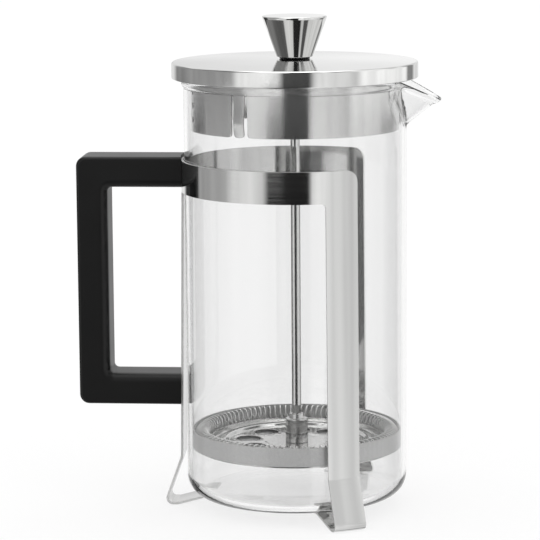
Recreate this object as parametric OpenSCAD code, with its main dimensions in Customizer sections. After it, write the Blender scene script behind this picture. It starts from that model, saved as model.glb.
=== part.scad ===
// Coffee press: glass beaker in a three-legged steel frame, black handle,
// drum lid with a slotted collar, and a plunger with a mesh filter.
// Millimetres, +Z up, spout along +X, handle along -X, feet on z = 0.

/* [Beaker] */
// Outer radius of the glass
beaker_r = 48; // [46:0.5:52]
// Wall thickness of the glass
glass_wall = 1.8; // [1.5:0.1:2.2]
// Height of the glass underside above the table
beaker_base_z = 5; // [4.5:0.5:8]
// Height of the glass rim above the table
beaker_rim_z = 187.5; // [170:0.5:200]
// Outer radius of the rounded bottom edge
beaker_corner_r = 9; // [6:0.5:14]
// Thickness of the glass floor
glass_floor = 2.4; // [2:0.1:4]
// How far the fire-polished rim bead stands out from the wall
rim_flare = 0.9; // [0.3:0.1:1.2]
// Distance of the spout tip from the beaker axis
spout_reach = 63; // [58:0.5:66]
// Angle of the spout's underside above the horizontal
spout_rise = 37; // [32:1:44]
// Fall of the spout's lip below the horizontal
spout_fall = 31; // [20:1:36]

/* [Frame] */
// Gap between the glass and the steel band
band_gap = 0.3; // [0.2:0.05:0.6]
// Thickness of the steel sheet
sheet_t = 1; // [0.8:0.1:1.2]
// Height of the lower edge of the band
band_bottom_z = 138.9; // [125:0.1:145]
// Height of the band from edge to edge
band_h = 13.6; // [10:0.1:18]
// Width of each leg
leg_w = 14.4; // [12:0.1:16]
// Angle of each front leg from the spout
front_leg_angle = 62.4; // [50:0.1:75]
// Height of the bend where a leg turns out to its foot
leg_bend_z = 21.5; // [16:0.5:28]
// Outward lean of a leg between the band and the bend
leg_lean = 1.6; // [0:0.1:3]
// Distance of a foot's outer bend from the beaker axis
foot_reach = 58; // [54:0.5:60]
// Radius from the axis where a foot ends under the glass
foot_inner_r = 35; // [32:0.5:37]

/* [Handle] */
// Distance of the grip's outer face from the beaker axis
handle_reach = 94.3; // [88:0.1:105]
// Thickness of the grip and of both arms
handle_t = 13.4; // [11:0.1:16]
// Width of the handle from side to side
handle_w = 20; // [16:0.5:24]
// Height of the top face of the handle
handle_top_z = 154; // [145:0.5:160]
// Height of the bottom face of the handle
handle_bottom_z = 45.4; // [40:0.5:60]

/* [Lid] */
// Radius of the lid
lid_r = 53; // [51:0.5:56]
// Height of the lid rim
lid_rim_h = 7; // [5:0.5:10]
// Thickness of the lid sheet
lid_sheet = 0.7; // [0.5:0.1:1]
// Rise of the lid's top from its edge to its middle
lid_crown = 1.2; // [0.2:0.1:2]
// Outer radius of the collar that sits inside the glass
collar_r = 44.8; // [44:0.1:45.2]
// Depth of the collar below the lid
collar_depth = 21.9; // [16:0.1:26]
// Angle of the first spring tab from the spout
tab_angle = 3.4; // [0:0.1:10]
// Number of columns of strainer holes in the collar
strainer_columns = 5; // [3:1:7]

/* [Plunger] */
// Diameter of the plunger rod
rod_d = 4.1; // [3.5:0.1:5]
// Top diameter of the knob
knob_d = 28; // [24:0.5:32]
// Diameter of the knob's neck
knob_neck_d = 15.4; // [12:0.1:16]
// Height of the knob
knob_h = 17.5; // [15:0.1:24]
// Outer radius of the mesh screen
screen_r = 45.6; // [45:0.1:45.8]
// Height of the screen's underside above the table
screen_z = 26.4; // [22:0.1:32]
// Height of the screen's turned-up wall
screen_h = 8.4; // [7.5:0.1:10]
// Number of large holes in the spiral plate
plate_holes = 9; // [4:1:9]

/* [Hidden] */
$fn = 96;

steel = [0.80, 0.80, 0.80];
black_plastic = [0.08, 0.08, 0.08];
fit_gap = 0.05;
eps = 0.01;
far = 120;
turn = 360;

// The beaker axis stands off the origin so that the origin is under the
// middle of the whole object.
axis_x = (handle_reach - spout_reach) / 2;

inner_r = beaker_r - glass_wall;
rim_bead_r = (glass_wall + rim_flare) / 2;
spout_half_angle = 38;
spout_root_z = beaker_rim_z - (spout_reach - beaker_r)
    * (tan(spout_rise) + tan(spout_fall));
spout_axis_angle = spout_rise + spout_half_angle;
spout_len = 60;

band_r = beaker_r + band_gap;
band_outer_r = band_r + sheet_t;
band_top_z = band_bottom_z + band_h;
band_corner_r = 5;
inner_corner_r = 2;
leg_half_angle = asin(leg_w / 2 / band_outer_r);
bend_r = 3;
foot_bend_r = 2.4;
foot_land = 3;
rest_land = 3;
bend_steps = 6;

lid_bottom_z = beaker_rim_z + 0.2;
lid_top_z = lid_bottom_z + lid_rim_h;
lid_corner_r = 1;
lid_crown_z = lid_top_z + lid_crown;
collar_bottom_z = lid_bottom_z - collar_depth;
slot_w = 1.4;
slot_top_z = lid_bottom_z - 3.4;
tab_w = 4.8;
tab_count = 3;
panel_corner_r = 1.8;
strainer_d = 2.8;
strainer_pitch_z = 5.9;
strainer_pitch_angle = 11;
strainer_rows = 3;

bush_flange_r = 6.6;
bush_flange_h = 0.5;
bush_shank_r = 4;
bush_nut_r = 6.4;
bush_nut_h = 2.4;
bush_bottom_z = lid_top_z - 5;

rod_r = rod_d / 2;
bore_r = rod_r + fit_gap;
knob_z = lid_crown_z + bush_flange_h + 0.1;
knob_lip_h = 1.1;
knob_bore_depth = 11;
rod_top_z = knob_z + knob_bore_depth - 0.3;

screen_t = 0.4;
screen_wall_t = 0.6;
plate_z = screen_z + screen_t + fit_gap;
plate_t = 0.8;
plate_r = 38.2;
plate_rim_h = 3.4;
plate_step_r = 33;
plate_step_w = 2.4;
plate_step_h = 1.2;
plate_hole_r = 5.5;
plate_hole_circle_r = 21.6;
plate_hole_start = 13.3;
coil_tube_r = 3.3;
coil_ring_r = screen_r - screen_wall_t - coil_tube_r - fit_gap;
coil_z = screen_z + screen_h - coil_tube_r - 0.4;
eyelet_r = 6.4;
cross_t = 0.8;
cross_r = 43.4;
cross_z = screen_z - fit_gap - cross_t;
cross_hole_r = 5.5;
cross_outer_holes = 8;
cross_outer_circle_r = 32;
cross_inner_holes = 4;
cross_inner_circle_r = 16;
nut_across_corners = 12;
nut_h = 4;
nut_z = cross_z - fit_gap - nut_h;
rod_bottom_z = nut_z + 0.6;
hub_r = 4.95;
hub_h = 10.6;
hub_groove_z = 4.6;
hub_top_r = 3.3;
hub_top_h = 2;
hub_z = plate_z + plate_t + fit_gap;

arm_top_z = handle_top_z - handle_t / 2;
arm_low_z = handle_bottom_z + handle_t / 2;
insert_r = 2.9;
insert_len = 9;
insert_hole_depth = 14;
screw_r = 2;
screw_len = 11;
screw_head_r = 3.7;
screw_head_h = 1.9;
handle_corner_r = 4.2;
handle_inner_corner_r = 2;

// A point at a given length along a direction
function step(from, angle, length) = from + length * [cos(angle), sin(angle)];

// Direction of travel from one point to the next
function heading(a, b) = atan2(b[1] - a[1], b[0] - a[0]);

// Signed turn between two directions, from -180 to 180
function bend_angle(a, b) = (b - a + 540) % 360 - 180;

// Arc that rounds the corner b of the path a, b, c to radius r
function rounded(a, b, c, r) =
    let (h0 = heading(a, b), h1 = heading(b, c), t = bend_angle(h0, h1))
    let (side = sign(t), cut = r * tan(abs(t) / 2))
    let (start = step(b, h0 + 180, cut), centre = step(start, h0 + side * 90, r))
    [for (i = [0 : bend_steps])
        step(centre, h0 - side * 90 + t * i / bend_steps, r)];

// The path moved sideways by d, to its left when d is positive
function shifted(path, d) =
    [for (i = [0 : len(path) - 1])
        let (a = path[max(i - 1, 0)], b = path[i], c = path[min(i + 1, len(path) - 1)])
        let (h0 = i == 0 ? heading(b, c) : heading(a, b))
        let (h1 = i == len(path) - 1 ? h0 : heading(b, c))
        let (t = bend_angle(h0, h1))
        step(b, h0 + t / 2 + 90, d / cos(t / 2))];

// Closed outline of a sheet of thickness t that follows the path
function sheet_outline(path, t) =
    let (left = shifted(path, t / 2), right = shifted(path, -t / 2))
    concat(left, [for (i = [len(right) - 1 : -1 : 0]) right[i]]);

mid_r = band_r + sheet_t / 2;
leg_top = [mid_r, band_bottom_z - eps];
leg_bend = [mid_r + leg_lean, leg_bend_z];
foot_out = [foot_reach, sheet_t / 2];
foot_in = [foot_reach - foot_land - foot_bend_r, sheet_t / 2];
rest_z = beaker_base_z - fit_gap - sheet_t / 2;
rest_out = [foot_inner_r + rest_land, rest_z];
rest_in = [foot_inner_r, rest_z];
leg_path = concat(
    [leg_top],
    rounded(leg_top, leg_bend, foot_out, bend_r),
    rounded(leg_bend, foot_out, foot_in, foot_bend_r),
    rounded(foot_out, foot_in, rest_out, bend_r),
    rounded(foot_in, rest_out, rest_in, bend_r),
    [rest_in]
);

module on_axis() {
    translate([axis_x, 0, 0]) children();
}

module at_angle(angle) {
    rotate([0, 0, angle]) children();
}

// Hollow cylinder from z0 up to z1
module tube(r_out, r_in, z0, z1) {
    translate([0, 0, z0]) difference() {
        cylinder(r = r_out, h = z1 - z0);
        translate([0, 0, -eps]) cylinder(r = r_in, h = z1 - z0 + 2 * eps);
    }
}

// Half profile of a round-bottomed pot, for rotate_extrude
module pot_profile(r, corner, z0, z1) {
    translate([0, z0]) square([r - corner, z1 - z0]);
    translate([0, z0 + corner]) square([r, z1 - z0 - corner]);
    translate([r - corner, z0 + corner]) circle(corner);
}

// Cone whose lowest line is the spout's underside
module spout_cone(inset) {
    translate([beaker_r, 0, spout_root_z]) rotate([0, 90 - spout_axis_angle, 0])
        translate([0, 0, inset / sin(spout_half_angle)])
            cylinder(h = spout_len, r1 = 0, r2 = spout_len * tan(spout_half_angle));
}

// Space below the plane of the spout's lip and below the rim
module under_lip() {
    intersection() {
        translate([beaker_r, 0, beaker_rim_z]) rotate([0, spout_fall, 0])
            translate([-far / 2, -far / 2, -far]) cube(far);
        cylinder(r = far, h = beaker_rim_z - rim_bead_r);
    }
}

module glass_beaker() {
    color([0.85, 0.88, 0.88, 0.35]) on_axis() difference() {
        union() {
            rotate_extrude() {
                pot_profile(beaker_r, beaker_corner_r, beaker_base_z,
                    beaker_rim_z - rim_bead_r);
                translate([inner_r + rim_bead_r, beaker_rim_z - rim_bead_r])
                    circle(rim_bead_r);
            }
            intersection() {
                spout_cone(0);
                under_lip();
            }
        }
        rotate_extrude() pot_profile(inner_r, beaker_corner_r - glass_wall,
            beaker_base_z + glass_floor, beaker_rim_z + 1);
        spout_cone(glass_wall);
    }
}

// Outline of a leg below the band, seen from outside, with small fillets
// under the band at both sides, or on one side of a leg at the band's end
module leg_outline(free_side) {
    translate([-leg_w / 2, -1]) square([leg_w, band_top_z]);
    for (s = [-1, 1]) if (s != free_side)
        translate([s * leg_w / 2, band_bottom_z]) difference() {
            translate([s > 0 ? -eps : -inner_corner_r, -inner_corner_r])
                square([inner_corner_r + eps, band_h]);
            translate([s, -1] * inner_corner_r) circle(inner_corner_r);
        }
}

// What is cut away beyond the band's end, with its rounded top corner
module band_end_outline(free_side) {
    translate([free_side * leg_w / 2, band_top_z]) {
        translate([free_side > 0 ? 0 : -leg_w, -2 * band_h]) square([leg_w, 3 * band_h]);
        translate([-free_side, -1] * band_corner_r) difference() {
            translate([free_side > 0 ? 0 : -band_corner_r - 1, 0]) square(band_corner_r + 1);
            circle(band_corner_r);
        }
    }
}

// Radial prism of an outline along +X, from under the glass past a foot
module radial_prism() {
    translate([foot_inner_r - 5, 0, 0]) rotate([90, 0, 90])
        linear_extrude(foot_reach) children();
}

// Inner radius of the sheet at height z: upright band, then a leaning leg
function sheet_inner_r(z) = band_r + leg_lean
    * max(0, band_bottom_z - z) / (band_bottom_z - leg_bend_z);

// Axis of a handle screw, pointing from the sheet's inner face into the arm
module screw_axis(z) {
    translate([-sheet_inner_r(z), 0, z]) rotate([0, -90, 0]) children();
}

// Band around the glass, open towards the spout, with rounded top corners
module band() {
    overhang = 2 * leg_half_angle;
    open_angle = 2 * front_leg_angle;
    at_angle(-front_leg_angle) difference() {
        at_angle(open_angle) difference() {
            at_angle(-overhang) rotate_extrude(angle = turn - open_angle + 2 * overhang)
                translate([band_r, band_bottom_z]) square([sheet_t, band_h]);
            radial_prism() band_end_outline(-1);
        }
        radial_prism() band_end_outline(1);
    }
}

// One leg with its foot, in the direction of its angle
module leg(angle, free_side) {
    at_angle(angle) intersection() {
        at_angle(turn / 2) rotate_extrude() polygon(sheet_outline(leg_path, sheet_t));
        radial_prism() leg_outline(free_side);
    }
}

module frame() {
    color(steel) on_axis() {
        difference() {
            band();
            screw_axis(arm_top_z) screw_hole();
        }
        difference() {
            leg(180, 0);
            screw_axis(arm_low_z) screw_hole();
        }
        leg(front_leg_angle, -1);
        leg(-front_leg_angle, 1);
    }
}

// Countersunk hole for a handle screw, mouth at the inner face of the sheet
module screw_hole() {
    slope = (screw_head_r - screw_r) / screw_head_h;
    translate([0, 0, -sheet_t])
        cylinder(r1 = screw_head_r + fit_gap + slope * sheet_t, r2 = screw_r + fit_gap,
            h = screw_head_h + sheet_t);
}

// Side view of the handle: a square C with rounded corners
module handle_outline() {
    inner_edge = handle_reach - handle_t;
    difference() {
        union() {
            translate([-handle_reach, handle_bottom_z + handle_corner_r])
                square([handle_reach, handle_top_z - handle_bottom_z - 2 * handle_corner_r]);
            translate([-handle_reach + handle_corner_r, handle_bottom_z])
                square([handle_reach - handle_corner_r, handle_top_z - handle_bottom_z]);
            for (z = [handle_bottom_z + handle_corner_r, handle_top_z - handle_corner_r])
                translate([-handle_reach + handle_corner_r, z]) circle(handle_corner_r);
        }
        difference() {
            translate([-inner_edge, handle_bottom_z + handle_t])
                square([handle_reach, handle_top_z - handle_bottom_z - 2 * handle_t]);
            for (z = [handle_bottom_z + handle_t, handle_top_z - handle_t])
                translate([-inner_edge, z]) rotate(z < band_bottom_z / 2 ? 0 : -90)
                    difference() {
                        square(handle_inner_corner_r);
                        translate([1, 1] * handle_inner_corner_r)
                            circle(handle_inner_corner_r);
                    }
        }
    }
}

module handle() {
    color(black_plastic) on_axis() difference() {
        rotate([90, 0, 0]) linear_extrude(handle_w, center = true) handle_outline();
        translate([0, 0, band_bottom_z - far / 2])
            cylinder(r = band_outer_r + fit_gap, h = far);
        translate([0, 0, leg_bend_z]) cylinder(h = band_bottom_z - leg_bend_z,
            r1 = band_outer_r + leg_lean + fit_gap, r2 = band_outer_r + fit_gap);
        for (z = [arm_top_z, arm_low_z]) screw_axis(z) {
            cylinder(r1 = screw_head_r + fit_gap, r2 = screw_r + fit_gap,
                h = screw_head_h);
            cylinder(r = insert_r + fit_gap, h = insert_hole_depth + fit_gap);
        }
    }
}

module handle_inserts() {
    color("gold") on_axis() for (z = [arm_top_z, arm_low_z]) screw_axis(z)
        tube(insert_r, screw_r + fit_gap, insert_hole_depth - insert_len,
            insert_hole_depth);
}

module handle_screws() {
    color(steel) on_axis() for (z = [arm_top_z, arm_low_z]) screw_axis(z) {
        translate([0, 0, fit_gap])
            cylinder(r1 = screw_head_r, r2 = screw_r, h = screw_head_h - fit_gap);
        translate([0, 0, screw_head_h / 2])
            cylinder(r = screw_r, h = screw_len - screw_head_h / 2);
    }
}

// Half profile of a disc from z0 up to z1, whose top rises to its middle
module crown_profile(r, z0, z1, rise) {
    polygon([[0, z0], [r, z0], [r, z1], [0, z1 + rise]]);
}

module lid_cover() {
    color(steel) on_axis() difference() {
        rotate_extrude() difference() {
            union() {
                translate([0, lid_bottom_z]) square([lid_r, lid_rim_h - lid_corner_r]);
                crown_profile(lid_r - lid_corner_r, lid_bottom_z, lid_top_z, lid_crown);
                translate([lid_r - lid_corner_r, lid_top_z - lid_corner_r])
                    circle(lid_corner_r);
            }
            crown_profile(lid_r - lid_sheet, lid_bottom_z - 1, lid_top_z - lid_sheet,
                lid_crown);
        }
        cylinder(r = bush_shank_r + fit_gap, h = 2 * far);
    }
}

// Outline of one slot seen from outside: a round top, and a mouth whose
// corners are rounded almost into the collar's lower edge
module slot_outline() {
    straight = slot_top_z - slot_w / 2;
    corner_drop = 0.15;
    translate([-slot_w / 2, collar_bottom_z - 1])
        square([slot_w, straight - collar_bottom_z + 1]);
    translate([0, straight]) circle(d = slot_w);
    translate([0, collar_bottom_z]) difference() {
        translate([-slot_w / 2 - panel_corner_r, -1])
            square([slot_w + 2 * panel_corner_r, panel_corner_r - corner_drop + 1]);
        for (s = [-1, 1])
            translate([s * (slot_w / 2 + panel_corner_r), panel_corner_r - corner_drop])
                circle(panel_corner_r);
    }
}

module collar_slot(angle) {
    at_angle(angle) translate([collar_r - 3, 0, 0]) rotate([90, 0, 90])
        linear_extrude(5) slot_outline();
}

module lid_collar() {
    slot_offset = asin((tab_w + slot_w) / 2 / collar_r);
    color(steel) on_axis() difference() {
        at_angle(turn / tab_count / 2) rotate_extrude()
            translate([collar_r - lid_sheet, collar_bottom_z]) {
                square([lid_sheet, collar_depth + lid_sheet]);
                translate([0, collar_depth]) square([lid_r - fit_gap - collar_r, lid_sheet]);
            }
        for (i = [0 : tab_count - 1], s = [-1, 1])
            collar_slot(tab_angle + i * turn / tab_count + s * slot_offset);
        for (c = [0 : strainer_columns - 1], r = [0 : strainer_rows - 1])
            at_angle(180 + (c - (strainer_columns - 1) / 2) * strainer_pitch_angle)
                translate([collar_r - 3, 0,
                    slot_top_z - strainer_d / 2 - r * strainer_pitch_z])
                    rotate([0, 90, 0]) cylinder(d = strainer_d, h = 5);
    }
}

module rod_bush() {
    color(black_plastic) on_axis() {
        tube(bush_flange_r, bore_r, lid_crown_z + fit_gap, lid_crown_z + bush_flange_h);
        tube(bush_shank_r, bore_r, bush_bottom_z, lid_crown_z + bush_flange_h);
    }
}

module bush_nut() {
    nut_drop = lid_crown * bush_nut_r / lid_r;
    nut_top_z = lid_crown_z - nut_drop - lid_sheet - fit_gap;
    color(black_plastic) on_axis()
        tube(bush_nut_r, bush_shank_r + eps, nut_top_z - bush_nut_h, nut_top_z);
}

module knob() {
    color(steel) on_axis() translate([0, 0, knob_z]) difference() {
        union() {
            cylinder(d1 = knob_neck_d, d2 = knob_d, h = knob_h - knob_lip_h);
            translate([0, 0, knob_h - knob_lip_h]) cylinder(d = knob_d, h = knob_lip_h);
        }
        translate([0, 0, -eps]) cylinder(r = bore_r, h = knob_bore_depth);
    }
}

module plunger_rod() {
    color(steel) on_axis() translate([0, 0, rod_bottom_z])
        cylinder(r = rod_r, h = rod_top_z - rod_bottom_z);
}

module filter_hub() {
    color(steel) on_axis() translate([0, 0, hub_z]) difference() {
        union() {
            cylinder(r = hub_r, h = hub_h);
            translate([0, 0, hub_h])
                cylinder(r1 = hub_top_r, r2 = hub_top_r - 0.6, h = hub_top_h);
        }
        translate([0, 0, -eps]) cylinder(r = bore_r, h = hub_h + hub_top_h + 2 * eps);
        tube(hub_r + 1, hub_r - 0.3, hub_groove_z, hub_groove_z + 0.5);
    }
}

// Ring of equal round holes through a disc
module hole_ring(count, circle_r, r, z) {
    for (i = [0 : count - 1]) at_angle(i * turn / count)
        translate([circle_r, 0, z - 1]) cylinder(r = r, h = 5);
}

module spiral_plate() {
    step_in = plate_step_r - plate_step_w;
    color(steel) on_axis() difference() {
        union() {
            tube(plate_r, bore_r, plate_z, plate_z + plate_t);
            tube(plate_step_r, step_in, plate_z, plate_z + plate_t + plate_step_h);
            tube(plate_r, plate_r - plate_t, plate_z, plate_z + plate_rim_h);
        }
        at_angle(plate_hole_start)
            hole_ring(plate_holes, plate_hole_circle_r, plate_hole_r, plate_z);
    }
}

module coil_spring() {
    color(steel) on_axis() rotate_extrude()
        translate([coil_ring_r, coil_z]) circle(coil_tube_r);
}

module mesh_screen() {
    color([0.6, 0.6, 0.6]) on_axis() {
        tube(screen_r, eyelet_r + fit_gap, screen_z, screen_z + screen_t);
        tube(screen_r, screen_r - screen_wall_t, screen_z, screen_z + screen_h);
    }
}

// Flat washer that edges the hole in the middle of the mesh
module mesh_eyelet() {
    color(steel) on_axis() tube(eyelet_r, bore_r, screen_z, screen_z + screen_t);
}

module cross_plate() {
    color(steel) on_axis() difference() {
        tube(cross_r, bore_r, cross_z, cross_z + cross_t);
        hole_ring(cross_outer_holes, cross_outer_circle_r, cross_hole_r, cross_z);
        at_angle(turn / cross_inner_holes / 2)
            hole_ring(cross_inner_holes, cross_inner_circle_r, cross_hole_r, cross_z);
    }
}

module filter_nut() {
    color(steel) on_axis() translate([0, 0, nut_z]) difference() {
        cylinder(d = nut_across_corners, h = nut_h, $fn = 6);
        translate([0, 0, -eps]) cylinder(r = bore_r, h = nut_h + 2 * eps);
    }
}

frame();
handle();
handle_inserts();
handle_screws();
glass_beaker();
lid_cover();
lid_collar();
rod_bush();
bush_nut();
knob();
plunger_rod();
filter_hub();
spiral_plate();
coil_spring();
mesh_screen();
mesh_eyelet();
cross_plate();
filter_nut();
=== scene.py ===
"""Looks of a glass coffee press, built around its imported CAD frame.

The press stands on a pale floor under soft studio light. Every visible piece
is modelled here in metres, in the CAD model's own frame, from sizes in
millimetres; small hidden pieces keep their CAD shape and get a finish.
"""

import logging
import math
from collections.abc import Callable, Iterable, Sequence
from dataclasses import dataclass, field
from enum import Enum

import bmesh
import bpy
from mathutils import Matrix, Vector


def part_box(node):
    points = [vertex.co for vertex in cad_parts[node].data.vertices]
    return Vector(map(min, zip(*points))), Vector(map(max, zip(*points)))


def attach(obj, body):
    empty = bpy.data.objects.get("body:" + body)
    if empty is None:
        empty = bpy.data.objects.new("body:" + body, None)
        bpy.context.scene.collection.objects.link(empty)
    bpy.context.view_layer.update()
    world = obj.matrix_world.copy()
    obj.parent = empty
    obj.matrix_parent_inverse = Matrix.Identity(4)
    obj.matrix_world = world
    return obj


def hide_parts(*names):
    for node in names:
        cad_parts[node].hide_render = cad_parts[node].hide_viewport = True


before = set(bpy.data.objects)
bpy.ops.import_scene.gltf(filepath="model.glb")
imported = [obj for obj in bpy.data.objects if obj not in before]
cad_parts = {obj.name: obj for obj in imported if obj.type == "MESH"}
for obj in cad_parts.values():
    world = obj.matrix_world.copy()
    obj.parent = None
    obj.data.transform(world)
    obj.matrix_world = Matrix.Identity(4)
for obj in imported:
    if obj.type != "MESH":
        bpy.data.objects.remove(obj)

MM = 0.001
TURN = 2 * math.pi
LOG = logging.getLogger("press")


class Body(Enum):
    """The rigid bodies that pieces ride on."""

    STAND = "stand"
    BEAKER = "beaker"
    GUIDE = "rod_guide"
    LID = "lid"
    ROD = "rod"
    KNOB = "knob"
    FILTER = "filter"


class Grain(Enum):
    """Which way the polishing lines run, as lines per metre along X, Y and Z.

    A line round the press is 0.4 mm high and 33 mm long, one along a sheet is
    0.45 mm wide and 40 mm long, and a tumbling mark is 1.1 mm across.
    """

    AROUND = (30.0, 30.0, 2600.0)
    LENGTHWISE = (2200.0, 2200.0, 25.0)
    EVEN = (900.0, 900.0, 900.0)


# ---------------------------------------------------------------- materials


def linear(hex_colour: str) -> tuple[float, float, float, float]:
    """Turns an sRGB hex colour to linear RGBA.

    Args:
        hex_colour: Six hex digits, such as "C8C8C6".

    Returns:
        The linear colour with an alpha of 1.
    """
    def channel(text: str) -> float:
        """Turns one pair of hex digits to a linear value."""
        value = int(text, 16) / 255
        return value / 12.92 if value <= 0.04045 else ((value + 0.055) / 1.055) ** 2.4

    red, green, blue = (channel(hex_colour[i:i + 2]) for i in (0, 2, 4))
    return (red, green, blue, 1.0)


def add_node(tree: bpy.types.NodeTree, kind: str, values: dict | None = None,
             links: dict | None = None, **settings: object) -> bpy.types.Node:
    """Adds one shader node with its settings, socket values and links.

    Args:
        tree: Node tree that gets the node.
        kind: Blender's class name of the node.
        values: Input socket name or number to its value.
        links: Input socket name or number to the output it is fed from.
        **settings: Properties of the node itself.

    Returns:
        The new node.
    """
    node = tree.nodes.new(kind)
    for name, value in settings.items():
        setattr(node, name, value)
    for socket, value in (values or {}).items():
        node.inputs[socket].default_value = value
    for socket, output in (links or {}).items():
        tree.links.new(output, node.inputs[socket])
    return node


def empty_material(name: str) -> tuple[bpy.types.Material, bpy.types.NodeTree]:
    """Makes a material whose node tree is empty.

    Args:
        name: The finish in plain words.

    Returns:
        The material and its node tree.
    """
    material = bpy.data.materials.new(name)
    material.use_nodes = True
    material.node_tree.nodes.clear()
    return material, material.node_tree


def close_material(tree: bpy.types.NodeTree, shader: bpy.types.Node) -> None:
    """Links a shader to a new output node."""
    add_node(tree, "ShaderNodeOutputMaterial", links={"Surface": shader.outputs[0]})


def object_noise(tree: bpy.types.NodeTree, scale: Sequence[float],
                 detail: float) -> bpy.types.Node:
    """Adds a noise texture on Object coordinates.

    Args:
        tree: Node tree that gets the texture.
        scale: Cells per metre along X, Y and Z.
        detail: Octaves of noise.

    Returns:
        The noise node.
    """
    where = add_node(tree, "ShaderNodeTexCoord")
    mapped = add_node(tree, "ShaderNodeMapping", {"Scale": tuple(scale)},
                      {"Vector": where.outputs["Object"]})
    return add_node(tree, "ShaderNodeTexNoise", {"Scale": 1.0, "Detail": detail},
                    {"Vector": mapped.outputs[0]})


@dataclass(frozen=True)
class StainlessSteel:
    """Stainless steel, as polished or as brushed as its fields say.

    Attributes:
        name: The finish in plain words.
        colour: sRGB hex of the metal.
        roughness: Roughness of the polish between the lines.
        spread: How much the roughness changes from line to line.
        grain: Which way the polishing lines run.
        depth_mm: Depth of the polishing lines.
    """

    name: str
    colour: str = "D6D6D5"
    roughness: float = 0.10
    spread: float = 0.05
    grain: Grain = Grain.AROUND
    depth_mm: float = 0.002

    def make(self) -> bpy.types.Material:
        """Builds the material.

        Returns:
            The finished material.
        """
        material, tree = empty_material(self.name)
        lines = object_noise(tree, self.grain.value, 3.0)
        handling = object_noise(tree, (22.0, 22.0, 22.0), 2.0)
        mixed = add_node(tree, "ShaderNodeMath", {1: 0.35},
                         {0: handling.outputs["Fac"], 2: lines.outputs["Fac"]},
                         operation="MULTIPLY_ADD")
        rough = add_node(tree, "ShaderNodeMapRange",
                         {"From Min": 0.35, "From Max": 1.0,
                          "To Min": max(self.roughness - self.spread, 0.02),
                          "To Max": self.roughness + self.spread},
                         {"Value": mixed.outputs[0]})
        bump = add_node(tree, "ShaderNodeBump",
                        {"Strength": 0.35, "Distance": self.depth_mm * MM},
                        {"Height": lines.outputs["Fac"]})
        shader = add_node(tree, "ShaderNodeBsdfPrincipled",
                          {"Base Color": linear(self.colour), "Metallic": 1.0},
                          {"Roughness": rough.outputs[0], "Normal": bump.outputs[0]})
        close_material(tree, shader)
        return material


@dataclass(frozen=True)
class WovenSteel:
    """Fine stainless mesh cloth, stretched over the loops of a wire coil.

    Attributes:
        name: The finish in plain words.
        pitch_mm: Distance between wires, drawn about three times as coarse
            as the real cloth so that it shows.
        loops: Coil loops round the mesh that press through it.
        loop_depth_mm: How far the loops press the mesh out.
    """

    name: str = "woven stainless mesh"
    pitch_mm: float = 0.55
    loops: int = 104
    loop_depth_mm: float = 0.05

    def make(self) -> bpy.types.Material:
        """Builds the material.

        Returns:
            The finished material.
        """
        material, tree = empty_material(self.name)
        where = add_node(tree, "ShaderNodeTexCoord")
        centred = add_node(tree, "ShaderNodeMapping", {"Location": -axis_place()},
                           {"Vector": where.outputs["Object"]})
        parts = add_node(tree, "ShaderNodeSeparateXYZ", links={0: centred.outputs[0]})
        angle = add_node(tree, "ShaderNodeMath",
                         links={0: parts.outputs["Y"], 1: parts.outputs["X"]},
                         operation="ARCTAN2")
        cells = 1 / (self.pitch_mm * MM)
        weave = object_noise(tree, (cells, cells, cells), 2.0)
        ripple = add_node(tree, "ShaderNodeMath", {1: float(self.loops)},
                          {0: angle.outputs[0]}, operation="MULTIPLY")
        loops = add_node(tree, "ShaderNodeMath", links={0: ripple.outputs[0]},
                         operation="SINE")
        colour = add_node(tree, "ShaderNodeMix",
                          {"A": linear("CFCFCF"), "B": linear("F6F6F5")},
                          {"Factor": weave.outputs["Fac"]}, data_type="RGBA")
        cloth = add_node(tree, "ShaderNodeBump",
                         {"Strength": 0.5, "Distance": 0.08 * MM},
                         {"Height": weave.outputs["Fac"]})
        pressed = add_node(tree, "ShaderNodeBump",
                           {"Strength": 0.6, "Distance": self.loop_depth_mm * MM},
                           {"Height": loops.outputs[0], "Normal": cloth.outputs[0]})
        shader = add_node(tree, "ShaderNodeBsdfPrincipled",
                          {"Metallic": 0.2, "Roughness": 0.5},
                          {"Base Color": colour.outputs["Result"],
                           "Normal": pressed.outputs[0]})
        close_material(tree, shader)
        return material


@dataclass(frozen=True)
class Borosilicate:
    """Clear borosilicate glass, blown in a mould, so its walls ripple slightly."""

    name: str = "clear borosilicate glass"

    def make(self) -> bpy.types.Material:
        """Builds the material.

        Returns:
            The finished material.
        """
        material, tree = empty_material(self.name)
        ripple = object_noise(tree, (28.0, 28.0, 9.0), 1.0)
        bump = add_node(tree, "ShaderNodeBump", {"Strength": 0.1, "Distance": 0.05 * MM},
                        {"Height": ripple.outputs["Fac"]})
        shader = add_node(tree, "ShaderNodeBsdfPrincipled",
                          {"Base Color": linear("F8F8F8"), "Roughness": 0.0,
                           "IOR": 1.473, "Transmission Weight": 1.0},
                          {"Normal": bump.outputs[0]})
        close_material(tree, shader)
        return material


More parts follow.
